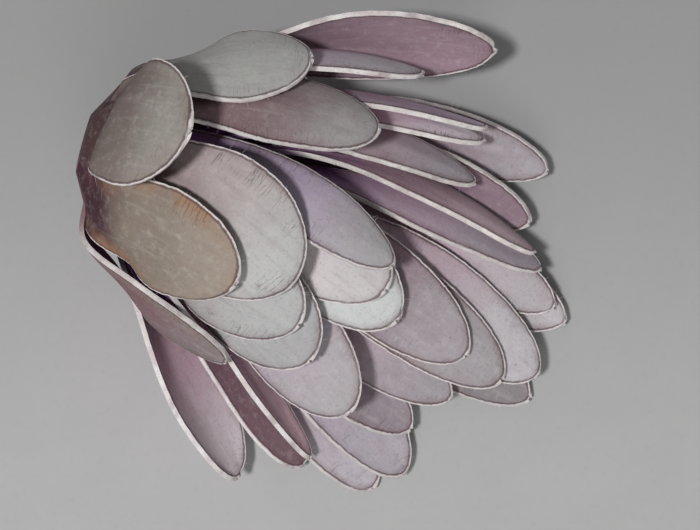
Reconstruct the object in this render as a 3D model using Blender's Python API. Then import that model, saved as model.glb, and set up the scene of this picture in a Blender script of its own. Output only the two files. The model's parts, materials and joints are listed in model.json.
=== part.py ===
# Paper flower bud, folded and cut from thick watercolour paper, lying on its side.
# Ten cut sheets, each a small disc with petals round it, are glued disc on disc.
# Lengths in the constants are in millimetres and angles in degrees.
# X runs along the flower from its back to its tips, Y across it and Z up from the table.
import bpy
import bmesh
import math
from mathutils import Vector

# The paper and the stack of discs
MM = 0.001
PAPER = 0.45
DISC_STEP = 1.45
DISC_FLAT = 0.5
DISC_SEAT = 0.35
DISC_SLOPE = 0.5
DAB_CLEAR = 0.30
DAB_RADIUS = 1.1
DAB_SHARE = 0.8
DAB_SIDES = 12

# How the flower lies on the table
BACK_HEIGHT = 13.0
BACK_SIDE = 0.4
NOD = 11.5
TURN = 10.0
PLACE_X = -21.475
PLACE_Y = -0.8
PLACE_Z = -0.176

# How a petal is drawn
BEND = 0.6
BEND_RISE = 0.5
SHOULDER_END = 0.5
SHOULDER_PEAK = 27.0 / 4.0
BOW_NEAR = 1.15
BOW_FAR = 0.85
WIDEST = 0.60
TIP_FLAT = 0.22
ROUNDING = 2.2
FACES_OUT_BY = 0.7
LEAVES_RIM_BY = 0.3
CUPPED_BY = 0.35
LINE_STEP = 0.01
SHARPEST = 0.6
RIM_STEP = 24.0
ROWS = (0.0, 0.09, 0.2, 0.34, 0.48, 0.62, 0.76, 0.87, 0.95, 1.0)
ACROSS = 4

# Colour and roughness
PAPER_ROUGH = 0.9
GLUE_ROUGH = 0.5
OUTER_OLIVE = (0.30, 0.29, 0.25)
GREY_GREEN = (0.36, 0.36, 0.34)
ASH = (0.42, 0.40, 0.40)
GLUE = (0.55, 0.50, 0.42)

# Each sheet: disc radius, neck as a share of the petal's width, how far its petals
# swell out at the shoulder, colour, then its petals.
# Each petal: name, place round the disc, tip (along, across, height), bow of its middle
# line (across, height), facing of its outer side from straight up, width, cup.
SHEETS = [
    ("sheet_a", 5.9, 0.62, 0.6, OUTER_OLIVE, [
        ("crest", 17, (8.0, 4.8, 28.8), (0.6, 5.4), 4, 11.2, 0.10),
        ("brow", -50.5, (16.4, -5.2, 23.7), (-0.3, 3.8), -26, 9.4, 0.26),
        ("wing", 82, (13.8, 15.2, 17.5), (0.9, 1.8), 42, 9.8, 0.16),
        ("flank", -106, (18.0, -12.2, 13.8), (-1.9, 3.6), -68, 7.2, 0.10),
        ("under_left", -159, (17.5, -6.5, 0.6), (-0.4, -1.0), -174, 9.4, 0.12),
        ("under_right", 142, (17.0, 9.0, 0.6), (0.6, -1.0), 165, 9.4, 0.12),
    ]),
    ("sheet_b", 5.4, 0.46, 0.0, GREY_GREEN, [
        ("shield", -4, (20.6, -3.4, 20.9), (0.7, 3.4), -12, 11.6, 0.18),
        ("tucked", -60, (15.2, -12.0, 11.8), (-0.9, 1.5), -72, 7.2, 0.10),
        ("lip", 50, (21.7, 12.2, 17.0), (1.6, 2.6), 46, 9.0, 0.20),
        ("banner", 96, (28.1, 23.6, 10.5), (3.4, -2.4), 128, 9.0, 0.18),
        ("scoop", -108, (23.3, -22.1, 4.6), (-0.8, -0.8), -130, 9.0, 0.20),
        ("low_left", -167, (28.3, -18.9, 2.2), (1.4, -0.8), -157, 8.8, 0.12),
    ]),
    ("sheet_c", 5.0, 0.50, 0.0, GREY_GREEN, [
        ("violet", 20, (27.8, 1.8, 18.6), (1.7, 1.2), 30, 6.2, 0.16),
        ("ridge", 84, (23.1, 18.6, 12.2), (3.4, 0.5), 68, 6.4, 0.14),
        ("second", -50, (22.6, -6.2, 18.2), (-0.6, 2.1), -26, 10.0, 0.14),
    ]),
    ("sheet_d", 4.6, 0.46, 0.0, ASH, [
        ("third", -34, (24.8, -8.8, 15.6), (-0.3, 1.0), -20, 10.0, 0.18),
        ("beak", 56, (30.4, 16.8, 9.8), (3.1, -0.1), 76, 5.2, 0.14),
        ("keel", 176, (36.0, 1.0, 0.4), (0.0, -1.2), 180, 7.0, 0.10),
        ("low_inner", -92, (28.6, -17.4, 5.6), (-0.2, 1.2), -116, 5.0, 0.12),
    ]),
    ("sheet_e", 4.2, 0.42, 0.0, ASH, [
        ("blush", 4, (28.2, -0.4, 15.3), (0.8, 1.4), 0, 9.4, 0.22),
        ("chip", 82, (30.8, 15.8, 8.2), (2.6, -0.5), 66, 6.0, 0.10),
        ("low_far", -132, (35.3, -18.1, 1.4), (0.6, -1.5), -168, 8.6, 0.10),
    ]),
    ("sheet_f", 3.8, 0.40, 0.0, ASH, [
        ("pale", 0, (30.3, -2.4, 13.4), (0.6, 1.1), -4, 9.0, 0.08),
        ("grey_blade", 54, (31.6, 12.0, 8.8), (2.7, 0.1), 54, 5.6, 0.10),
        ("low_mauve", -126, (37.4, -15.5, 2.7), (0.8, -2.2), -168, 8.6, 0.10),
        ("far_top", 136, (37.5, 16.2, 3.4), (3.2, -2.6), 152, 7.0, 0.10),
    ]),
    ("sheet_g", 3.3, 0.34, 0.0, ASH, [
        ("fourth", -52, (30.0, -11.7, 11.3), (-0.6, 0.0), -20, 9.5, 0.14),
        ("fan_one", 3, (37.4, -2.8, 9.3), (0.9, 0.9), 0, 8.4, 0.10),
        ("low_grey", -128, (36.1, -11.3, 3.4), (-1.2, -0.9), -168, 7.4, 0.08),
        ("inner_top", 108, (38.0, 11.0, 3.8), (2.1, -1.7), 150, 7.0, 0.10),
    ]),
    ("sheet_h", 2.7, 0.36, 0.0, ASH, [
        ("fan_two", 2, (41.6, -3.4, 6.7), (0.3, 1.0), 0, 8.4, 0.10),
        ("blade_one", 80, (39.4, 8.5, 7.2), (2.9, -0.3), 62, 4.4, 0.10),
        ("fan_low", -92, (38.1, -7.0, 5.6), (-1.0, -0.5), -10, 6.8, 0.08),
    ]),
    ("sheet_i", 2.0, 0.28, 0.0, ASH, [
        ("fan_three", -2, (44.6, -1.6, 4.8), (1.0, 0.5), 4, 8.8, 0.10),
        ("blade_two", 72, (40.6, 7.4, 6.2), (1.9, 0.1), 44, 5.2, 0.10),
        ("fan_tail", -150, (45.2, -4.0, 1.6), (-0.6, -0.9), -176, 7.4, 0.08),
    ]),
    ("sheet_j", 1.3, 0.22, 0.0, ASH, [
        ("fan_four", 60, (43.4, 4.8, 4.1), (0.9, -0.7), -2, 6.6, 0.10),
        ("fan_five", 172, (45.1, 4.0, 2.4), (0.6, -1.0), 184, 7.4, 0.08),
    ]),
]


# Small helpers

def smooth(x):
    x = max(0.0, min(1.0, x))
    return x * x * (3.0 - 2.0 * x)


def mix(a, b, x):
    return a + (b - a) * x


def paper_material(name, colour, roughness):
    mat = bpy.data.materials.new(name)
    mat.use_nodes = True
    bsdf = mat.node_tree.nodes["Principled BSDF"]
    bsdf.inputs["Base Color"].default_value = (*colour, 1.0)
    bsdf.inputs["Roughness"].default_value = roughness
    bsdf.inputs["Metallic"].default_value = 0.0
    mat.diffuse_color = (*colour, 1.0)
    return mat


# The discs face backwards: their axis nods a little and is turned a little to one side

def axis_dir():
    nod = math.radians(NOD)
    turn = math.radians(TURN)
    return Vector((math.cos(nod) * math.cos(turn), math.cos(nod) * math.sin(turn), -math.sin(nod)))


def axis_side():
    turn = math.radians(TURN)
    return Vector((-math.sin(turn), math.cos(turn), 0.0))


def axis_up():
    return axis_dir().cross(axis_side())


def disc_centre(index):
    return Vector((0.0, BACK_SIDE, BACK_HEIGHT)) + axis_dir() * (DISC_STEP * index)


def disc_dish(radius):
    return DISC_SLOPE * radius * (1.0 - DISC_FLAT)


def round_disc(angle):
    a = math.radians(angle)
    return axis_side() * math.sin(a) + axis_up() * math.cos(a)


def along_rim(angle):
    a = math.radians(angle)
    return axis_side() * math.cos(a) - axis_up() * math.sin(a)


# One petal: its middle line from the disc to the tip, then its outline

def middle_line(centre, radius, shoulder, petal, u):
    name, place, tip, bow, facing, width, cup = petal
    start = centre + round_disc(place) * radius + axis_dir() * (BEND * BEND_RISE)
    end = Vector(tip)
    chord = end - start
    out = Vector((0.0, bow[0], bow[1]))
    out = out - chord * (out.dot(chord) / chord.length_squared)
    first = start + chord / 3.0 + out * (BOW_NEAR * 4.0 / 3.0)
    second = start + chord * (2.0 / 3.0) + out * (BOW_FAR * 4.0 / 3.0)
    k = 1.0 - u
    w = min(1.0, u / SHOULDER_END)
    swell = round_disc(place) * (shoulder * SHOULDER_PEAK * w * (1.0 - w) ** 2)
    return start * k ** 3 + first * (3 * u * k * k) + second * (3 * u * u * k) + end * u ** 3 + swell


def half_width(petal, neck, u):
    width = petal[5]
    if u < WIDEST:
        return 0.5 * width * mix(neck, 1.0, smooth(u / WIDEST))
    past = (u - WIDEST) / (1.0 - WIDEST)
    return 0.5 * width * max(TIP_FLAT, math.sqrt(max(0.0, 1.0 - past ** ROUNDING)))


def petal_point(centre, radius, neck, shoulder, petal, u, v):
    place, facing, cup = petal[1], petal[4], petal[6]
    here = middle_line(centre, radius, shoulder, petal, u)
    ahead = middle_line(centre, radius, shoulder, petal, min(1.0, u + LINE_STEP))
    behind = middle_line(centre, radius, shoulder, petal, max(0.0, u - LINE_STEP))
    along = (ahead - behind).normalized()
    a = math.radians(mix(place, facing, smooth(u / FACES_OUT_BY)))
    level = Vector((0.0, math.cos(a), -math.sin(a)))
    sideways = along_rim(place).lerp(level, smooth(u / LEAVES_RIM_BY))
    sideways = (sideways - along * sideways.dot(along)).normalized()
    outward = along.cross(sideways)
    half = half_width(petal, neck, u)
    sag = cup * half * v * v * smooth(u / CUPPED_BY)
    return here + sideways * (half * v) - outward * sag


def petal_grid(centre, radius, neck, shoulder, petal, rows, across):
    grid = []
    for u in rows:
        grid.append([petal_point(centre, radius, neck, shoulder, petal, u, 2.0 * j / across - 1.0)
                     for j in range(across + 1)])
    return grid


# One sheet: the disc, the short bend at each neck and the petals, as one surface

def sheet_surface(index, sheet, rows=ROWS, across=ACROSS):
    name, radius, neck, shoulder, colour, petals = sheet
    centre = disc_centre(index)
    dish = axis_dir() * -disc_dish(radius)
    points = [centre + dish]
    faces = []
    rim = []
    inner = radius - BEND
    for petal in sorted(petals, key=lambda p: p[1]):
        half_angle = math.degrees(half_width(petal, neck, 0.0) / radius)
        ring = []
        for j in range(across + 1):
            v = 2.0 * j / across - 1.0
            place = petal[1] + half_angle * v
            ring.append(len(points))
            points.append(centre + round_disc(place) * inner)
        rim.append((ring, petal[1] - half_angle, petal[1] + half_angle))
        below = ring
        for row in petal_grid(centre, radius, neck, shoulder, petal, rows, across):
            above = []
            for point in row:
                above.append(len(points))
                points.append(point)
            for j in range(across):
                faces.append((below[j], below[j + 1], above[j + 1], above[j]))
            below = above
    count = len(rim)
    loop = []
    for i in range(count):
        ring, low, high = rim[i]
        loop.extend(ring)
        following = rim[(i + 1) % count][1] + (360.0 if i == count - 1 else 0.0)
        span = following - high
        steps = max(1, round(span / RIM_STEP))
        for s in range(1, steps):
            loop.append(len(points))
            points.append(centre + round_disc(high + span * s / steps) * inner)
    rings = [loop]
    for share in (DISC_FLAT, DISC_SEAT):
        rings.append(list(range(len(points), len(points) + len(loop))))
        points.extend([centre.lerp(points[i], share) + dish for i in loop])
    for i in range(len(loop)):
        j = (i + 1) % len(loop)
        faces.append((0, rings[-1][j], rings[-1][i]))
        for outer, middle in zip(rings, rings[1:]):
            faces.append((middle[j], outer[j], outer[i], middle[i]))
    return points, faces


# The surface is given the thickness of the paper on both sides of it

def thicken(points, faces, thickness):
    normals = [Vector() for _ in points]
    flats = []
    for face in faces:
        a, b, c = points[face[0]], points[face[1]], points[face[2]]
        if len(face) == 4:
            d = points[face[3]]
            n = (c - a).cross(d - b)
        else:
            n = (b - a).cross(c - a)
        flats.append(n.normalized())
        for i in face:
            normals[i] += n.normalized()
    normals = [n.normalized() for n in normals]
    worst = [1.0] * len(points)
    for face, n in zip(faces, flats):
        for i in face:
            worst[i] = min(worst[i], max(SHARPEST, normals[i].dot(n)))
    h = 0.5 * thickness
    top = [p + n * (h / w) for p, n, w in zip(points, normals, worst)]
    low = [p - n * (h / w) for p, n, w in zip(points, normals, worst)]
    total = len(points)
    solid = []
    edges = {}
    for face in faces:
        k = len(face)
        for i in range(k):
            a, b = face[i], face[(i + 1) % k]
            edges[(a, b)] = edges.get((a, b), 0) + 1
        for i in range(1, k - 1):
            solid.append((face[0], face[i], face[i + 1]))
            solid.append((face[0] + total, face[i + 1] + total, face[i] + total))
    for (a, b) in edges:
        if (b, a) not in edges:
            solid.append((b, a, a + total))
            solid.append((b, a + total, b + total))
    return top + low, solid


def add_object(name, points, faces, material):
    place = Vector((PLACE_X, PLACE_Y, PLACE_Z))
    mesh = bpy.data.meshes.new(name)
    mesh.from_pydata([tuple((p + place) * MM) for p in points], [], faces)
    mesh.materials.append(material)
    bm = bmesh.new()
    bm.from_mesh(mesh)
    bmesh.ops.recalc_face_normals(bm, faces=bm.faces)
    bm.to_mesh(mesh)
    bm.free()
    obj = bpy.data.objects.new(name, mesh)
    bpy.context.scene.collection.objects.link(obj)
    return obj


def make_sheet(index, sheet):
    points, faces = sheet_surface(index, sheet)
    solid_points, solid_faces = thicken(points, faces, PAPER)
    material = paper_material(sheet[0] + "_paper", sheet[4], PAPER_ROUGH)
    return add_object(sheet[0], solid_points, solid_faces, material)


# A flat drop of dried glue between one disc and the following one

def make_dab(index):
    name = "glue_" + "abcdefghi"[index]
    gap = 0.5 * PAPER + DAB_CLEAR
    low = disc_centre(index) + axis_dir() * (gap - disc_dish(SHEETS[index][1]))
    high = disc_centre(index + 1) - axis_dir() * (gap + disc_dish(SHEETS[index + 1][1]))
    flat = (SHEETS[index + 1][1] - BEND) * DISC_FLAT
    radius = min(DAB_RADIUS, DAB_SHARE * flat)
    points = [low, high]
    for i in range(DAB_SIDES):
        around = round_disc(360.0 * i / DAB_SIDES) * radius
        points.append(low + around)
        points.append(high + around)
    faces = []
    for i in range(DAB_SIDES):
        a = 2 + 2 * i
        b = 2 + 2 * ((i + 1) % DAB_SIDES)
        faces.append((0, a, b))
        faces.append((1, b + 1, a + 1))
        faces.append((a, a + 1, b + 1))
        faces.append((a, b + 1, b))
    return add_object(name, points, faces, paper_material(name, GLUE, GLUE_ROUGH))


def clear_scene():
    for obj in list(bpy.data.objects):
        bpy.data.objects.remove(obj, do_unlink=True)


clear_scene()
for number, entry in enumerate(SHEETS):
    make_sheet(number, entry)
for number in range(len(SHEETS) - 1):
    make_dab(number)
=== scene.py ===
import json
import math
import random

import bpy
import numpy as np
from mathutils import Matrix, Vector, noise


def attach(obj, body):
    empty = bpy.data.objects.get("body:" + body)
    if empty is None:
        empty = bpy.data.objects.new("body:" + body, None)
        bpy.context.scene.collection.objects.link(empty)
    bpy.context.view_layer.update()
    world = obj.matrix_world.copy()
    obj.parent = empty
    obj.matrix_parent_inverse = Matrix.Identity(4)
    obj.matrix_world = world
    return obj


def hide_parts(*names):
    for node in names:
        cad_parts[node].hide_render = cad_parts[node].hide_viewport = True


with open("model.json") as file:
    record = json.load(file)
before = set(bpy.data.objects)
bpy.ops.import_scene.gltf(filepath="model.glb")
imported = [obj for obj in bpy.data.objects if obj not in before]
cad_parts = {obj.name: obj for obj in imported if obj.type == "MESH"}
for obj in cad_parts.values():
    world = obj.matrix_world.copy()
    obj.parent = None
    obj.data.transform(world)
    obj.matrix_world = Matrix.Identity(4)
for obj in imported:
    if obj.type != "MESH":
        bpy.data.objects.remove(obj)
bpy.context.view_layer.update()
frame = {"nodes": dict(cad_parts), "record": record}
random.seed(11)

# The outermost cut sheet, under all the others
# One piece of heavy watercolour paper, stained olive and umber: a small disc with six petals.
# Each petal is creased where it leaves the disc and curled by hand, and two of them lie underneath.

MM = 0.001
PAPER = 0.45 * MM
DISC_STEP = 1.45 * MM
DISC_FLAT = 0.5
DISC_SEAT = 0.35
DISC_SLOPE = 0.5
OUTER_DISC = 5.9 * MM
BACK_HEIGHT = 13.0 * MM
BACK_SIDE = 0.4 * MM
CREASE = 0.6 * MM
CREASE_RISE = 0.5
SHOULDER_END = 0.5
SHOULDER_PEAK = 27.0 / 4.0
CURL_NEAR = 1.15
CURL_FAR = 0.85
WIDEST = 0.60
ROUNDING = 2.2
FACES_OUT_BY = 0.7
LEAVES_RIM_BY = 0.3
CUPPED_BY = 0.35
LINE_STEP = 0.01
RIM_STEP = 8.0
TIP_END = 88.0
ROWS_TO_WIDEST = 46
ROWS_OF_TIP = 44
ACROSS = (0.0, 0.16, 0.34, 0.52, 0.68, 0.80, 0.885, 0.94, 0.975, 1.0)
CUT_WOBBLE = 0.11 * MM
CUT_FRAY = 0.045 * MM
SLOW_WAVE = 5.0
QUICK_WAVE = 38.0
FINE_WAVE = 130.0
TORN_EVERY = 0.35 * MM
BUCKLE = 0.12 * MM
BUCKLE_WAVE = 3.5
RAGGED_BY = 0.2
CUT_BELLY = 0.7
FAR_FROM_CUT = 9.0
DISC_FROM_CUT = 0.6
FIBRES_FROM = 0.3
FIBRES_PER_MM = 0.35
FIBRE_LONG = 0.75 * MM
FIBRE_SHORTEST = 0.25
FIBRE_LEAN = 0.9
FIBRE_CURL = 0.35
FIBRE_THICK = 0.013 * MM

back = next(m for m in frame["record"]["mounts"] if m["name"] == "back")
stack_dir = -Vector(back["axis"]).normalized()
stack_side = Vector((0.0, 0.0, 1.0)).cross(stack_dir).normalized()
stack_up = stack_dir.cross(stack_side)


def disc_dish(radius):
    """How far the middle of a disc is pressed back from its rim."""
    return DISC_SLOPE * radius * (1.0 - DISC_FLAT)


first_disc = Vector(back["pos_m"]) + stack_dir * (PAPER / 2 + disc_dish(OUTER_DISC))
foot = first_disc - Vector((0.0, BACK_SIDE, BACK_HEIGHT))


def ease(x):
    x = max(0.0, min(1.0, x))
    return x * x * (3.0 - 2.0 * x)


def between(a, b, x):
    return a + (b - a) * x


def round_disc(angle):
    a = math.radians(angle)
    return stack_side * math.sin(a) + stack_up * math.cos(a)


def along_rim(angle):
    a = math.radians(angle)
    return stack_side * math.cos(a) - stack_up * math.sin(a)


def disc_centre(number):
    return first_disc + stack_dir * (DISC_STEP * number)


def middle_line(hub, radius, shoulder, petal, u):
    """A petal's own line from the crease to the tip, as it was curled."""
    start = hub + round_disc(petal["place"]) * radius + stack_dir * (CREASE * CREASE_RISE)
    end = foot + Vector(petal["tip"]) * MM
    chord = end - start
    bow = Vector((0.0, petal["bow"][0], petal["bow"][1])) * MM
    bow = bow - chord * (bow.dot(chord) / chord.length_squared)
    first = start + chord / 3.0 + bow * (CURL_NEAR * 4.0 / 3.0)
    second = start + chord * (2.0 / 3.0) + bow * (CURL_FAR * 4.0 / 3.0)
    k = 1.0 - u
    w = min(1.0, u / SHOULDER_END)
    swell = round_disc(petal["place"]) * (shoulder * MM * SHOULDER_PEAK * w * (1.0 - w) ** 2)
    return start * k ** 3 + first * (3 * u * k * k) + second * (3 * u * u * k) + end * u ** 3 + swell


def half_width(petal, neck, u):
    width = petal["width"] * MM
    if u < WIDEST:
        return 0.5 * width * between(neck, 1.0, ease(u / WIDEST))
    past = (u - WIDEST) / (1.0 - WIDEST)
    return 0.5 * width * math.sqrt(max(0.0, 1.0 - past ** ROUNDING))


def petal_rows():
    rows = [WIDEST * i / ROWS_TO_WIDEST for i in range(ROWS_TO_WIDEST + 1)]
    for i in range(1, ROWS_OF_TIP + 1):
        turn = math.sin(math.radians(TIP_END * i / ROWS_OF_TIP))
        rows.append(WIDEST + (1.0 - WIDEST) * turn ** (2.0 / ROUNDING))
    return rows


def petal_grid(hub, radius, neck, shoulder, petal, seed):
    """Points of one petal's mid surface, row by row, with where each lies on the flat petal."""
    sides = [-a for a in reversed(ACROSS[1:])] + list(ACROSS)
    rows = petal_rows()
    line = [middle_line(hub, radius, shoulder, petal, u) for u in rows]
    length = sum((b - a).length for a, b in zip(line, line[1:]))
    grid, flat, outline = [], [], []
    for u, here in zip(rows, line):
        ahead = middle_line(hub, radius, shoulder, petal, min(1.0, u + LINE_STEP))
        behind = middle_line(hub, radius, shoulder, petal, max(0.0, u - LINE_STEP))
        along = (ahead - behind).normalized()
        a = math.radians(between(petal["place"], petal["facing"], ease(u / FACES_OUT_BY)))
        level = Vector((0.0, math.cos(a), -math.sin(a)))
        sideways = along_rim(petal["place"]).lerp(level, ease(u / LEAVES_RIM_BY))
        sideways = (sideways - along * sideways.dot(along)).normalized()
        outward = along.cross(sideways)
        half = half_width(petal, neck, u)
        row, flat_row = [], []
        for v in sides:
            side = 1.0 if v > 0 else -1.0
            slow = noise.noise(Vector((u * SLOW_WAVE, side * 3.0, seed * 1.7)))
            quick = noise.noise(Vector((u * QUICK_WAVE, side * 9.0, seed * 2.3)))
            fine = noise.noise(Vector((u * FINE_WAVE, side * 7.0, seed * 4.1)))
            ragged = slow * CUT_WOBBLE + (quick + fine) * CUT_FRAY
            wide = half + ragged * ease(u / RAGGED_BY) * min(1.0, half / MM)
            sag = petal["cup"] * half * v * v * ease(u / CUPPED_BY)
            buckle = noise.noise(Vector((u * BUCKLE_WAVE, v * 1.6, seed * 3.1)))
            buckle *= BUCKLE * ease(u / LEAVES_RIM_BY)
            row.append(here + sideways * (wide * v) - outward * sag + outward * buckle)
            flat_row.append((u * length, wide * v))
        grid.append(row)
        flat.append(flat_row)
        outline.append(flat_row[0])
        outline.append(flat_row[-1])
    cut = np.array(outline[2:] + [flat[-1][k] for k in range(0, len(sides), 3)])
    cut = np.vstack([cut, between(cut[:-2], cut[2:], 0.5)])
    spots = np.array(flat).reshape(-1, 2)
    away = np.sqrt(((spots[:, None, :] - cut[None, :, :]) ** 2).sum(2)).min(1)
    inside = [half_width(petal, neck, u) * (1 - abs(v)) for u in rows for v in sides]
    away = np.minimum(away, np.array(inside))
    return rows, sides, grid, flat, away.reshape(len(rows), len(sides))


def sheet_mesh(name, number, radius, neck, shoulder, petals):
    """The whole cut sheet: disc, creases and petals, with the paper's thickness and its cut edge."""
    hub = disc_centre(number)
    radius, crease_at = radius * MM, radius * MM - CREASE
    dish = stack_dir * -disc_dish(radius)
    points, faces = [hub + dish], []
    marks = [(0.0, FAR_FROM_CUT, (0.0, 0.0, 0.0), petals[0])]
    rim = []
    for order, petal in enumerate(sorted(petals, key=lambda p: p["place"])):
        seed = number * 10 + order
        rows, sides, grid, flat, away = petal_grid(hub, radius, neck, shoulder, petal, seed)
        spread = math.degrees(half_width(petal, neck, 0.0) / radius)
        below = []
        for v in sides:
            below.append(len(points))
            points.append(hub + round_disc(petal["place"] + spread * v) * crease_at)
            marks.append((0.0, FAR_FROM_CUT, (0.0, v, seed), petal))
        rim.append((list(below), petal["place"] - spread, petal["place"] + spread, petal))
        for u, row, spots, gaps in zip(rows, grid, flat, away):
            above = []
            for point, spot, gap in zip(row, spots, gaps):
                above.append(len(points))
                points.append(point)
                marks.append((u, gap / MM, (spot[0] / MM, spot[1] / MM, seed), petal))
            for j in range(len(sides) - 1):
                faces.append((below[j], below[j + 1], above[j + 1], above[j]))
            below = above
    loop = []
    for i, (ring, low, high, petal) in enumerate(rim):
        loop.extend(ring)
        following = rim[(i + 1) % len(rim)][1] + (360.0 if i == len(rim) - 1 else 0.0)
        steps = max(2, round((following - high) / RIM_STEP))
        for s in range(1, steps):
            loop.append(len(points))
            points.append(hub + round_disc(between(high, following, s / steps)) * crease_at)
            marks.append((0.0, DISC_FROM_CUT, (0.0, 0.0, seed), petal))
    rings = [loop]
    for share in (DISC_FLAT, DISC_SEAT):
        rings.append(list(range(len(points), len(points) + len(loop))))
        points.extend([hub.lerp(points[i], share) + dish for i in loop])
        marks.extend([(0.0, FAR_FROM_CUT, *marks[i][2:]) for i in loop])
    for i in range(len(loop)):
        j = (i + 1) % len(loop)
        faces.append((0, rings[-1][j], rings[-1][i]))
        for outer, inner in zip(rings, rings[1:]):
            faces.append((inner[j], outer[j], outer[i], inner[i]))
    return thick_paper(name, points, faces, marks)


def thick_paper(name, points, faces, marks):
    """Both faces of the paper and the cut edge between them, as one closed mesh with its stain marks."""
    normals = [Vector() for _ in points]
    for face in faces:
        a, b, c, d = (points[face[k % len(face)]] for k in range(4))
        flat = (c - a).cross(d - b) if len(face) == 4 else (b - a).cross(c - a)
        for i in face:
            normals[i] += flat.normalized()
    normals = [n.normalized() for n in normals]
    count = len(points)
    edges = {}
    for face in faces:
        for i in range(len(face)):
            edges[(face[i], face[(i + 1) % len(face)])] = True
    verts = [p + n * (PAPER / 2) for p, n in zip(points, normals)]
    verts += [p - n * (PAPER / 2) for p, n in zip(points, normals)]
    solid = [tuple(f) for f in faces] + [tuple(count + i for i in reversed(f)) for f in faces]
    slots = [0] * len(solid)
    open_edges = [(a, b) for (a, b) in edges if (b, a) not in edges]
    pushed = {}
    for a, b in open_edges:
        run = points[b] - points[a]
        out = run.cross(normals[a])
        out = out.normalized() if out.length > 0 else Vector()
        for i in (a, b):
            pushed[i] = pushed.get(i, Vector()) + out
    belly = {}
    for i, out in pushed.items():
        rough = noise.noise(points[i] / TORN_EVERY)
        belly[i] = len(verts)
        verts.append(points[i] + out.normalized() * CUT_FRAY * (CUT_BELLY + rough))
    for a, b in open_edges:
        solid.append((b, a, belly[a], belly[b]))
        solid.append((belly[b], belly[a], a + count, b + count))
        slots += [1, 1]
    all_marks = marks + marks + [marks[i] for i in belly]
    for a, b in open_edges:
        share = (points[b] - points[a]).length / MM * FIBRES_PER_MM
        if random.random() < share and all_marks[a][0] > FIBRES_FROM:
            torn_fibre(points[a], pushed[a].normalized(), normals[a], marks[a], verts, solid, all_marks)
    slots += [1] * (len(solid) - len(slots))
    mesh = bpy.data.meshes.new(name)
    mesh.from_pydata([tuple(v) for v in verts], [], solid)
    mesh.polygons.foreach_set("material_index", slots)
    mesh.polygons.foreach_set("use_smooth", [True] * len(solid))
    put_marks(mesh, all_marks)
    mesh.update()
    sharp = mesh.attributes.new("sharp_edge", "BOOLEAN", "EDGE")
    cut = {tuple(sorted(e)) for a, b in open_edges for e in ((a, b), (a + count, b + count))}
    sharp.data.foreach_set("value", [tuple(sorted(e.vertices)) in cut for e in mesh.edges])
    obj = bpy.data.objects.new(name, mesh)
    bpy.context.scene.collection.objects.link(obj)
    return obj


def torn_fibre(start, out, normal, mark, verts, solid, all_marks):
    """One loose fibre of the paper, curling out of the cut."""
    long = FIBRE_LONG * random.uniform(FIBRE_SHORTEST, 1.0)
    way = (out + normal * random.uniform(-FIBRE_LEAN, FIBRE_LEAN)).normalized()
    curl = Vector([random.uniform(-1.0, 1.0) for _ in range(3)]) * FIBRE_CURL
    line = [start + (way * t + curl * t * t) * long for t in (0.0, 0.4, 0.75, 1.0)]
    if min(point.z for point in line) < FIBRE_THICK * 2:
        return
    side = way.cross(curl).normalized()
    lift = way.cross(side)
    first = len(verts)
    for point, thick in zip(line, (1.0, 0.9, 0.7, 0.3)):
        for k in range(3):
            a = math.radians(120 * k)
            verts.append(point + (side * math.cos(a) + lift * math.sin(a)) * FIBRE_THICK * thick)
            all_marks.append(mark)
    solid.append((first, first + 1, first + 2))
    for ring in range(3):
        low = first + 3 * ring
        for k in range(3):
            solid.append((low + k, low + 3 + k, low + 3 + (k + 1) % 3, low + (k + 1) % 3))
    solid.append((first + 11, first + 10, first + 9))


def put_marks(mesh, marks):
    """Leaves on each point where it lies on its petal, which inks run there, and the rim colour, which is
    partly ink and partly painted shade.
    """
    for label, pick in (("along", 0), ("from_cut", 1)):
        layer = mesh.attributes.new(label, "FLOAT", "POINT")
        layer.data.foreach_set("value", [m[pick] for m in marks])
    layer = mesh.attributes.new("on_petal", "FLOAT_VECTOR", "POINT")
    layer.data.foreach_set("vector", [c for m in marks for c in m[2]])
    for k, label in enumerate(("root_ink", "body_ink", "tip_ink", "rim_ink_and_shade")):
        layer = mesh.attributes.new(label, "FLOAT_COLOR", "POINT")
        layer.data.foreach_set("color", [c for m in marks for c in (*m[3]["inks"][k], 1.0)])
    layer = mesh.attributes.new("bruise", "FLOAT", "POINT")
    layer.data.foreach_set("value", [m[3]["bruise"] for m in marks])


def ink(red, green, blue, light=0.90):
    """A dried ink as it looks under the lamp, from 0 to 255, as the colour of the paper itself."""
    tones = []
    for c in (red, green, blue):
        c = c / 255.0
        c = c / 12.92 if c <= 0.04045 else ((c + 0.055) / 1.055) ** 2.4
        tones.append(c / light)
    return tuple(tones)


UMBER = ink(86, 62, 64)
BARK = ink(76, 46, 57)
OLIVE = ink(120, 110, 105)
PALE_OLIVE = ink(149, 146, 140)
CLAY = ink(144, 131, 124)
SAGE = ink(180, 181, 178)
ROSE_BROWN = ink(134, 104, 108)
DUSTY_ROSE = ink(150, 136, 139)
STONE = ink(174, 171, 171)
TEA = ink(128, 104, 106)
RUST = ink(158, 122, 96)


def petal(place, tip, bow, facing, width, cup, inks, rim=TEA, bruise=0.5):
    return {"place": place, "tip": tip, "bow": bow, "facing": facing, "width": width,
            "cup": cup, "inks": (*inks, rim), "bruise": bruise}


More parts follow.
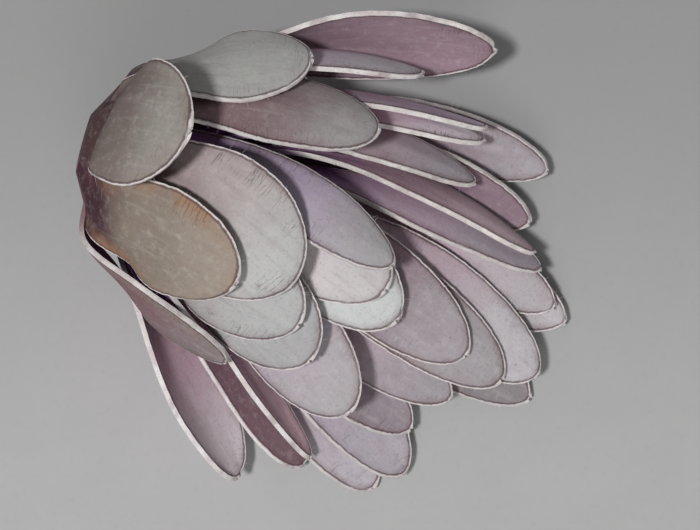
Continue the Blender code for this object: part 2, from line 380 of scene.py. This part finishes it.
class Nodes:
    """Short calls to lay out a material's nodes and join them."""

    def __init__(self, name):
        self.mat = bpy.data.materials.new(name)
        self.mat.use_nodes = True
        self.tree = self.mat.node_tree
        self.shader = self.tree.nodes["Principled BSDF"]

    def add(self, kind, inputs=(), **settings):
        node = self.tree.nodes.new(kind)
        for key, value in settings.items():
            setattr(node, key, value)
        for key, value in dict(inputs).items():
            self.put(node.inputs[key], value)
        return node

    def put(self, socket, value):
        if isinstance(value, bpy.types.NodeSocket):
            self.tree.links.new(value, socket)
        else:
            socket.default_value = value

    def sum(self, kind, a, b):
        return self.add("ShaderNodeMath", {0: a, 1: b}, operation=kind).outputs[0]

    def step(self, value, low, high, start=0.0, end=1.0):
        node = self.add("ShaderNodeMapRange", {"Value": value, "From Min": low, "From Max": high,
                                               "To Min": start, "To Max": end},
                        interpolation_type="SMOOTHSTEP")
        return node.outputs["Result"]

    def mix(self, share, a, b, kind="MIX"):
        node = self.add("ShaderNodeMix", data_type="RGBA", blend_type=kind)
        self.put(node.inputs["Factor"], share)
        self.put(node.inputs["A"], a if isinstance(a, bpy.types.NodeSocket) else (*a, 1.0))
        self.put(node.inputs["B"], b if isinstance(b, bpy.types.NodeSocket) else (*b, 1.0))
        return node.outputs["Result"]

    def mark(self, name, output="Fac"):
        return self.add("ShaderNodeAttribute", attribute_name=name).outputs[output]

    def cloud(self, where, size_mm, detail=2.0, rough=0.5, swirl=0.0):
        node = self.add("ShaderNodeTexNoise", {"Vector": where, "Scale": 1000.0 / size_mm, "Detail": detail,
                                               "Roughness": rough, "Distortion": swirl})
        return node.outputs["Fac"]


def stained_paper(name, rim_stain_and_shade_share=0.5, rim_stain_and_shade_wide=0.95, shift=(0.0, 0.0, 0.0)):
    """Rough paper with ink that ran from the root and settled in the grain, and a band along the cut that
    is partly pooled ink and partly painted shade of the petals' curled sides.
    """
    n = Nodes(name)
    spot = n.add("ShaderNodeTexCoord").outputs["Object"]
    where = n.add("ShaderNodeMapping", {"Vector": spot, "Location": shift}).outputs["Vector"]
    flat = n.mark("on_petal", "Vector")
    cut = n.mark("from_cut")
    drift = n.cloud(where, 5.0, 3.0, 0.55, 0.3)
    run = n.sum("ADD", n.mark("along"), n.sum("MULTIPLY", n.sum("SUBTRACT", drift, 0.5), 0.34))
    tone = n.mix(n.step(run, 0.08, 0.46), n.mark("root_ink", "Color"), n.mark("body_ink", "Color"))
    tone = n.mix(n.step(run, 0.52, 0.90), tone, n.mark("tip_ink", "Color"))
    blot = n.cloud(where, 2.6, 3.0, 0.55, 0.6)
    tone = n.mix(n.step(blot, 0.46, 0.74, 0.0, 0.16), tone, ink(150, 122, 128))
    strokes = n.add("ShaderNodeMapping", {"Vector": flat, "Scale": (0.18, 1.5, 1.0)}).outputs["Vector"]
    stroke = n.add("ShaderNodeTexNoise", {"Vector": strokes, "Scale": 1.0, "Detail": 4.0}).outputs["Fac"]
    tone = n.mix(n.step(stroke, 0.52, 0.70, 0.0, 0.10), tone, ink(212, 208, 204))
    tone = n.mix(n.step(stroke, 0.46, 0.30, 0.0, 0.14), tone, ink(120, 96, 102))
    grain = n.cloud(where, 0.26, 4.0, 0.66)
    tone = n.mix(n.step(grain, 0.50, 0.74, 0.0, 0.26), tone, ink(98, 80, 84))
    tone = n.mix(n.step(n.cloud(where, 0.8, 5.0, 0.72), 0.52, 0.30, 0.0, 0.15), tone, ink(222, 219, 214))
    fleck = n.add("ShaderNodeTexVoronoi", {"Vector": where, "Scale": 1000.0 / 1.3}, feature="F1")
    flecks = n.sum("MULTIPLY", n.step(fleck.outputs["Distance"], 0.075, 0.035), n.step(blot, 0.50, 0.60))
    tone = n.mix(n.sum("MULTIPLY", flecks, 0.6), tone, ink(70, 54, 56))
    rough = n.sum("MULTIPLY", n.sum("SUBTRACT", n.cloud(where, 0.45, 4.0, 0.62), 0.5), 0.22)
    ragged = n.sum("ADD", cut, rough)
    # Real ink and painted shade along the cut: the rim colour, darker than the body on most petals, lies in
    # a band at the cut edge and stands partly for ink pooled there and partly for shade at the curled
    # sides.
    rim_stain_and_shade = n.sum("MULTIPLY", n.step(ragged, rim_stain_and_shade_wide, 0.15), n.step(drift, 0.36, 0.62, 0.10, rim_stain_and_shade_share))
    tone = n.mix(rim_stain_and_shade, tone, n.mark("rim_ink_and_shade", "Color"))
    worn = n.step(n.cloud(where, 2.4, 3.0, 0.6), 0.30, 0.50, 0.45, 1.0)
    line = n.sum("MULTIPLY", n.step(ragged, 0.36, 0.22), n.step(ragged, 0.08, 0.16))
    tone = n.mix(n.sum("MULTIPLY", n.sum("MULTIPLY", line, worn), 0.72), tone, ink(84, 64, 68))
    bare = n.sum("MULTIPLY", n.step(ragged, 0.16, 0.07), worn)
    tone = n.mix(n.sum("MULTIPLY", bare, 0.85), tone, ink(224, 218, 216))
    hatches = n.add("ShaderNodeMapping", {"Vector": flat, "Scale": (2.6, 0.30, 1.0)}).outputs["Vector"]
    hatch = n.add("ShaderNodeTexNoise", {"Vector": hatches, "Scale": 1.0, "Detail": 3.0,
                                         "Distortion": 0.4}).outputs["Fac"]
    off_line = n.sum("ABSOLUTE", n.sum("SUBTRACT", hatch, 0.5), 0.0)
    crack = n.sum("SUBTRACT", 1.0, n.step(off_line, 0.004, 0.016))
    near = n.sum("MULTIPLY", n.step(cut, 2.6, 0.7), n.mark("bruise"))
    crack = n.sum("MULTIPLY", n.sum("MULTIPLY", crack, near), n.step(drift, 0.46, 0.56))
    tone = n.mix(n.sum("MULTIPLY", crack, 0.55), tone, ink(86, 66, 68))
    n.put(n.shader.inputs["Base Color"], tone)
    n.put(n.shader.inputs["Roughness"], n.step(grain, 0.2, 0.8, 0.82, 0.97))
    tooth = n.cloud(where, 0.6, 3.0, 0.55)
    relief = n.sum("ADD", n.sum("MULTIPLY", tooth, 0.6), n.sum("MULTIPLY", grain, 0.4))
    relief = n.sum("SUBTRACT", relief, n.sum("MULTIPLY", crack, 0.8))
    bump = n.add("ShaderNodeBump", {"Strength": 0.75, "Distance": 0.06 * MM, "Height": relief})
    n.put(n.shader.inputs["Normal"], bump.outputs["Normal"])
    n.put(n.shader.inputs["Specular IOR Level"], 0.22)
    return n.mat


def cut_edge_paper(name):
    """The scissor cut: the paper's own white, greyed where ink soaked in and stained at the root."""
    n = Nodes(name)
    where = n.add("ShaderNodeTexCoord").outputs["Object"]
    soak = n.cloud(where, 1.8, 3.0, 0.6)
    fibre = n.cloud(where, 0.16, 4.0, 0.7)
    tone = n.mix(n.step(soak, 0.35, 0.65), ink(234, 231, 229), ink(212, 203, 202))
    tone = n.mix(n.step(fibre, 0.50, 0.75, 0.0, 0.5), tone, ink(150, 134, 133))
    dark = n.step(n.cloud(where, 3.4, 3.0, 0.6), 0.55, 0.70, 0.0, 0.5)
    tone = n.mix(dark, tone, ink(128, 104, 106))
    tone = n.mix(n.step(n.mark("along"), 0.26, 0.08, 0.0, 0.9), tone, n.mark("root_ink", "Color"))
    n.put(n.shader.inputs["Base Color"], tone)
    n.put(n.shader.inputs["Roughness"], n.step(fibre, 0.2, 0.8, 0.88, 0.98))
    bump = n.add("ShaderNodeBump", {"Strength": 0.7, "Distance": 0.05 * MM, "Height": fibre})
    n.put(n.shader.inputs["Normal"], bump.outputs["Normal"])
    n.put(n.shader.inputs["Specular IOR Level"], 0.2)
    return n.mat


def lay_sheet(letter, number, radius, neck, petals, paper, edge, shoulder=0.0):
    """Cuts, stains and places one sheet, instead of the plain one."""
    piece = sheet_mesh("cut_sheet_" + letter, number, radius, neck, shoulder, petals)
    piece.data.materials.append(paper)
    piece.data.materials.append(edge)
    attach(piece, "root")
    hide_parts("sheet_" + letter)
    return piece


white_cut = cut_edge_paper("cut_edge")
crest = petal(17, (8.0, 4.8, 28.8), (0.6, 5.4), 4, 11.2, 0.10, (UMBER, OLIVE, PALE_OLIVE), rim=CLAY)
brow = petal(-50.5, (16.4, -5.2, 23.7), (-0.3, 3.8), -26, 9.4, 0.26,
             (BARK, ink(137, 126, 115), ink(158, 147, 136)), rim=RUST, bruise=0.8)
wing = petal(82, (13.8, 15.2, 17.5), (0.9, 1.8), 42, 9.8, 0.16, (UMBER, SAGE, SAGE), rim=STONE)
flank = petal(-106, (18.0, -12.2, 13.8), (-1.9, 3.6), -68, 7.2, 0.10,
              (ROSE_BROWN, ROSE_BROWN, DUSTY_ROSE), rim=CLAY)
under_left = petal(-159, (17.5, -6.5, 0.6), (-0.4, -1.0), -174, 9.4, 0.12, (UMBER, UMBER, OLIVE))
under_right = petal(142, (17.0, 9.0, 0.6), (0.6, -1.0), 165, 9.4, 0.12, (UMBER, UMBER, OLIVE))
lay_sheet("a", 0, OUTER_DISC / MM, 0.62, (crest, brow, wing, flank, under_left, under_right),
          stained_paper("olive_stained_paper", rim_stain_and_shade_share=0.85, rim_stain_and_shade_wide=2.0), white_cut, shoulder=0.6)

# The second sheet, glued on the first
# The same heavy paper, pale grey at the ends of the upper petals, with plum and brown roots.
# The broad shield petal cracked at its rim as it was curled, and the banner stands off to one side.

CHALK = ink(190, 191, 190)
PLUM = ink(92, 52, 82)
HEATHER = ink(158, 133, 145)
MAUVE = ink(184, 153, 168)
PALE_MAUVE = ink(208, 176, 190)
SMOKED_MAUVE = ink(126, 92, 116)
VIOLET = ink(178, 116, 200)

shield = petal(-4, (20.6, -3.4, 20.9), (0.7, 3.4), -12, 11.6, 0.18,
               (ROSE_BROWN, ink(172, 161, 161), CHALK), bruise=1.0)
lip = petal(50, (21.7, 12.2, 17.0), (1.6, 2.6), 46, 9.0, 0.20,
            (ink(106, 70, 78), ink(140, 118, 122), STONE))
tucked = petal(-60, (15.2, -12.0, 11.8), (-0.9, 1.5), -72, 7.2, 0.10, (VIOLET, VIOLET, HEATHER))
banner = petal(96, (28.1, 23.6, 10.5), (3.4, -2.4), 128, 9.0, 0.18, (PLUM, HEATHER, HEATHER), bruise=0.6)
scoop = petal(-108, (23.3, -22.1, 4.6), (-0.8, -0.8), -130, 9.0, 0.20,
              (PLUM, PALE_MAUVE, ink(224, 216, 221)))
low_left = petal(-167, (28.3, -18.9, 2.2), (1.4, -0.8), -157, 8.8, 0.12,
                 (PLUM, ink(112, 78, 92), ink(130, 104, 113)))
lay_sheet("b", 1, 5.4, 0.46, (shield, tucked, lip, banner, scoop, low_left),
          stained_paper("sage_stained_paper", shift=(0.03, 0.01, 0.02)), white_cut)

# The third sheet
# Petals with a strong violet root, where fresh ink was laid on the damp paper.
# It is glued on the second sheet, and reaches a little past the upper petals of that one.

LILAC = ink(198, 182, 199)
ASH = ink(176, 174, 176)
PALE_ASH = ink(198, 195, 199)

violet_petal = petal(20, (27.8, 1.8, 18.6), (1.7, 1.2), 30, 6.2, 0.16, (VIOLET, ink(184, 168, 192), ASH))
ridge = petal(84, (23.1, 18.6, 12.2), (3.4, 0.5), 68, 6.4, 0.14, (HEATHER, LILAC, PALE_ASH))
second = petal(-50, (22.6, -6.2, 18.2), (-0.6, 2.1), -26, 10.0, 0.14,
               (VIOLET, STONE, ink(181, 182, 182)), bruise=0.9)
lay_sheet("c", 2, 5.0, 0.50, (violet_petal, ridge, second),
          stained_paper("violet_rooted_paper", shift=(0.07, 0.02, 0.05)), white_cut)

# The fourth sheet
# Ash-coloured and mauve petals over violet and plum roots, glued on the third sheet.
# The keel petal is folded right down, and the flower's front rests on it.

third = petal(-34, (24.8, -8.8, 15.6), (-0.3, 1.0), -20, 10.0, 0.18, (VIOLET, ASH, ink(172, 172, 173)))
beak = petal(56, (30.4, 16.8, 9.8), (3.1, -0.1), 76, 5.2, 0.14,
             (VIOLET, ink(196, 172, 186), LILAC), bruise=0.3)
keel = petal(176, (36.0, 1.0, 0.4), (0.0, -1.2), 180, 7.0, 0.10, (PLUM, MAUVE, HEATHER))
low_inner = petal(-92, (28.6, -17.4, 5.6), (-0.2, 1.2), -116, 5.0, 0.12, (PLUM, MAUVE, ink(232, 196, 206)))
lay_sheet("d", 3, 4.6, 0.46, (third, beak, keel, low_inner),
          stained_paper("ash_paper_d", shift=(0.11, 0.04, 0.01)), white_cut)

# The fifth sheet
# Pale petals with a blush of pink, less ink than on the outer ones.
# Glued on the fourth sheet. One narrow petal cracked as it was curled and shows short hatches.

BLUSH = ink(202, 198, 199)

blush = petal(4, (28.2, -0.4, 15.3), (0.8, 1.4), 0, 9.4, 0.22, (MAUVE, ink(214, 206, 208), BLUSH))
chip = petal(82, (30.8, 15.8, 8.2), (2.6, -0.5), 66, 6.0, 0.10,
             (PLUM, ink(234, 206, 216), ink(236, 230, 234)), bruise=1.0)
low_far = petal(-132, (35.3, -18.1, 1.4), (0.6, -1.5), -168, 8.6, 0.10, (PLUM, MAUVE, ink(194, 188, 195)))
lay_sheet("e", 4, 4.2, 0.42, (blush, chip, low_far),
          stained_paper("blush_paper", shift=(0.02, 0.09, 0.06)), white_cut)

# The sixth sheet
# Nearly white petals above and mauve ones below, glued on the fifth sheet.
# Their rims took up ink and dried with a thin brown line.

pale = petal(0, (30.3, -2.4, 13.4), (0.6, 1.1), -4, 9.0, 0.08,
             (MAUVE, ink(204, 206, 206), ink(204, 207, 207)), bruise=0.3)
grey_blade = petal(54, (31.6, 12.0, 8.8), (2.7, 0.1), 54, 5.6, 0.10,
                   (VIOLET, ink(192, 168, 178), ink(180, 172, 178)), bruise=0.3)
low_mauve = petal(-126, (37.4, -15.5, 2.7), (0.8, -2.2), -168, 8.6, 0.10, (PLUM, LILAC, ink(178, 172, 180)))
far_top = petal(136, (37.5, 16.2, 3.4), (3.2, -2.6), 152, 7.0, 0.10,
                (PLUM, ink(174, 140, 157), ink(171, 165, 170)), bruise=0.4)
lay_sheet("f", 5, 3.8, 0.40, (pale, grey_blade, low_mauve, far_top),
          stained_paper("pale_paper_f", shift=(0.05, 0.13, 0.03)), white_cut)

# The seventh sheet
# Long ash petals that open towards the table, with plum roots deep in the bud.
# Glued on the sixth sheet.

fourth = petal(-52, (30.0, -11.7, 11.3), (-0.6, 0.0), -20, 9.5, 0.14,
               (VIOLET, LILAC, ink(175, 171, 174)), bruise=0.3)
fan_one = petal(3, (37.4, -2.8, 9.3), (0.9, 0.9), 0, 8.4, 0.10,
                (PLUM, ink(136, 112, 124), ink(170, 163, 168)), bruise=0.4)
low_grey = petal(-128, (36.1, -11.3, 3.4), (-1.2, -0.9), -168, 7.4, 0.08,
                 (PLUM, HEATHER, ink(155, 144, 152)))
inner_top = petal(108, (38.0, 11.0, 3.8), (2.1, -1.7), 150, 7.0, 0.10,
                  (ink(118, 70, 104), ink(94, 66, 92), ink(152, 130, 142)), bruise=0.3)
lay_sheet("g", 6, 3.3, 0.34, (fourth, fan_one, low_grey, inner_top),
          stained_paper("ash_paper_g", shift=(0.08, 0.03, 0.12)), white_cut)

# The eighth sheet
# Three petals of the fan in the heart of the bud, the narrow one stood on its edge.
# Glued on the seventh sheet.

fan_two = petal(2, (41.6, -3.4, 6.7), (0.3, 1.0), 0, 8.4, 0.10,
                (PLUM, HEATHER, ink(169, 165, 168)), bruise=0.4)
blade_one = petal(80, (39.4, 8.5, 7.2), (2.9, -0.3), 62, 4.4, 0.10,
                  (VIOLET, ink(192, 161, 174), ink(192, 172, 180)), bruise=0.3)
fan_low = petal(-92, (38.1, -7.0, 5.6), (-1.0, -0.5), -10, 6.8, 0.08,
                (PLUM, ink(196, 172, 184), ink(160, 154, 160)), bruise=0.4)
lay_sheet("h", 7, 2.7, 0.36, (fan_two, blade_one, fan_low),
          stained_paper("ash_paper_h", shift=(0.14, 0.06, 0.02)), white_cut)

# The ninth sheet
# Three more petals of the fan, among the longest of the flower, glued on the eighth sheet.
# Mauve at the root and pale grey at the ends.

fan_three = petal(-2, (44.6, -1.6, 4.8), (1.0, 0.5), 4, 8.8, 0.10,
                  (SMOKED_MAUVE, ink(186, 166, 177), PALE_ASH), bruise=0.4)
blade_two = petal(72, (40.6, 7.4, 6.2), (1.9, 0.1), 44, 5.2, 0.10,
                  (VIOLET, ink(178, 156, 172), ink(162, 155, 163)), bruise=0.2)
fan_tail = petal(-150, (45.2, -4.0, 1.6), (-0.6, -0.9), -176, 7.4, 0.08,
                 (SMOKED_MAUVE, HEATHER, ink(146, 141, 144)))
lay_sheet("i", 8, 2.0, 0.28, (fan_three, blade_two, fan_tail),
          stained_paper("fan_paper_i", shift=(0.01, 0.17, 0.04)), white_cut)

# The tenth sheet, the heart of the flower
# The smallest disc, with the last two petals of the fan, glued on the ninth sheet.

fan_four = petal(60, (43.4, 4.8, 4.1), (0.9, -0.7), -2, 6.6, 0.10,
                 (SMOKED_MAUVE, ink(206, 184, 196), ink(184, 178, 182)), bruise=0.3)
fan_five = petal(172, (45.1, 4.0, 2.4), (0.6, -1.0), 184, 7.4, 0.08,
                 (SMOKED_MAUVE, MAUVE, ink(196, 190, 194)))
lay_sheet("j", 9, 1.3, 0.22, (fan_four, fan_five),
          stained_paper("fan_paper_j", shift=(0.18, 0.02, 0.07)), white_cut)

# The drops of glue between the discs
# Craft glue, pressed flat and dried to a pale yellow between each disc and the next one.


def dried_glue():
    n = Nodes("dried_glue")
    where = n.add("ShaderNodeTexCoord").outputs["Object"]
    cloudy = n.cloud(where, 0.6, 3.0, 0.6)
    tone = n.mix(n.step(cloudy, 0.3, 0.7), ink(196, 184, 160), ink(168, 150, 128))
    n.put(n.shader.inputs["Base Color"], tone)
    n.put(n.shader.inputs["Roughness"], n.step(cloudy, 0.3, 0.7, 0.28, 0.45))
    bump = n.add("ShaderNodeBump", {"Strength": 0.3, "Distance": 0.05 * MM, "Height": cloudy})
    n.put(n.shader.inputs["Normal"], bump.outputs["Normal"])
    return n.mat


glue = dried_glue()
for letter in "abcdefghi":
    drop = frame["nodes"]["glue_" + letter]
    drop.data.materials.clear()
    drop.data.materials.append(glue)

# The table and the light
# The flower lies on a plain pale table, under one soft lamp high up and a little to the left.
# A weak window and the room itself add a little light from all round.

TABLE = 1.6
TABLE_BELOW = 0.02 * MM
LAMP_HIGH = 0.60
LAMP_TILT = 13.5
LAMP_FROM = 196.0
LAMP_SIZE = 0.060
LAMP_WATTS = 2.08
WINDOW_HIGH = 0.22
WINDOW_AWAY = 0.15
WINDOW_SIZE = 0.16
WINDOW_WATTS = 0.12
ROOM_LIGHT = 0.15
VIEW_TURN = 25.0
NEAR_EDGE = 26.0 * MM


def table_top():
    n = Nodes("table_top")
    where = n.add("ShaderNodeTexCoord").outputs["Object"]
    turned = n.add("ShaderNodeMapping", {"Vector": where, "Rotation": (0.0, 0.0, -math.radians(VIEW_TURN))})
    up_picture = n.add("ShaderNodeSeparateXYZ", {"Vector": turned.outputs["Vector"]}).outputs["Y"]
    soft = n.cloud(where, 9.0, 4.0, 0.6)
    fine = n.cloud(where, 0.8, 3.0, 0.6)
    # Painted light falloff: the table is painted lighter towards the bottom of the picture and darker
    # towards the top, as the light falls off towards the top.
    tone = n.mix(n.step(up_picture, -NEAR_EDGE, NEAR_EDGE), ink(180, 180, 180), ink(157, 157, 157))
    tone = n.mix(n.step(soft, 0.3, 0.7, 0.0, 0.10), tone, ink(150, 150, 150))
    tone = n.mix(n.step(fine, 0.5, 0.8, 0.0, 0.12), tone, ink(140, 140, 142))
    n.put(n.shader.inputs["Base Color"], tone)
    n.put(n.shader.inputs["Roughness"], n.step(fine, 0.2, 0.8, 0.9, 0.98))
    n.put(n.shader.inputs["Specular IOR Level"], 0.1)
    bpy.ops.mesh.primitive_plane_add(size=TABLE, location=(0.0, 0.0, -TABLE_BELOW))
    top = bpy.context.object
    top.name = "table"
    top.data.materials.append(n.mat)


def lamp():
    light = bpy.data.lights.new("lamp", "AREA")
    light.shape = "DISK"
    light.size = LAMP_SIZE
    light.energy = LAMP_WATTS
    light.color = (1.0, 0.99, 0.985)
    obj = bpy.data.objects.new("lamp", light)
    bpy.context.scene.collection.objects.link(obj)
    tilt = math.radians(LAMP_TILT)
    turn = math.radians(LAMP_FROM + VIEW_TURN)
    out = Vector((math.cos(turn) * math.sin(tilt), math.sin(turn) * math.sin(tilt), math.cos(tilt)))
    obj.location = out * LAMP_HIGH
    obj.rotation_euler = out.to_track_quat("Z", "Y").to_euler()


def window():
    light = bpy.data.lights.new("window", "AREA")
    light.shape = "DISK"
    light.size = WINDOW_SIZE
    light.energy = WINDOW_WATTS
    obj = bpy.data.objects.new("window", light)
    bpy.context.scene.collection.objects.link(obj)
    turn = math.radians(VIEW_TURN - 90.0)
    spot = Vector((math.cos(turn) * WINDOW_AWAY, math.sin(turn) * WINDOW_AWAY, WINDOW_HIGH))
    obj.location = spot
    obj.rotation_euler = spot.to_track_quat("Z", "Y").to_euler()


def room_light():
    world = bpy.data.worlds.new("room")
    world.use_nodes = True
    sky = world.node_tree.nodes["Background"]
    sky.inputs["Color"].default_value = (1.0, 0.98, 1.0, 1.0)
    sky.inputs["Strength"].default_value = ROOM_LIGHT
    bpy.context.scene.world = world


table_top()
lamp()
window()
room_light()
bpy.context.scene.view_settings.view_transform = "Standard"

# The camera
# It looks straight down on the table, turned so that the flower points to the lower right.

CAMERA_HIGH = 0.1898
VIEW_WIDE = 0.067
SENSOR = 36.0
NEAREST_SEEN = 0.01
VIEW_FROM_FOOT = (24.457 * MM, 0.294 * MM)

camera = bpy.data.objects.new("camera", bpy.data.cameras.new("camera"))
camera.data.sensor_width = SENSOR
camera.data.lens = SENSOR * CAMERA_HIGH / VIEW_WIDE
camera.location = (foot.x + VIEW_FROM_FOOT[0], foot.y + VIEW_FROM_FOOT[1], CAMERA_HIGH)
camera.rotation_euler = (0.0, 0.0, math.radians(VIEW_TURN))
camera.data.clip_start = NEAREST_SEEN
bpy.context.scene.collection.objects.link(camera)
bpy.context.scene.camera = camera
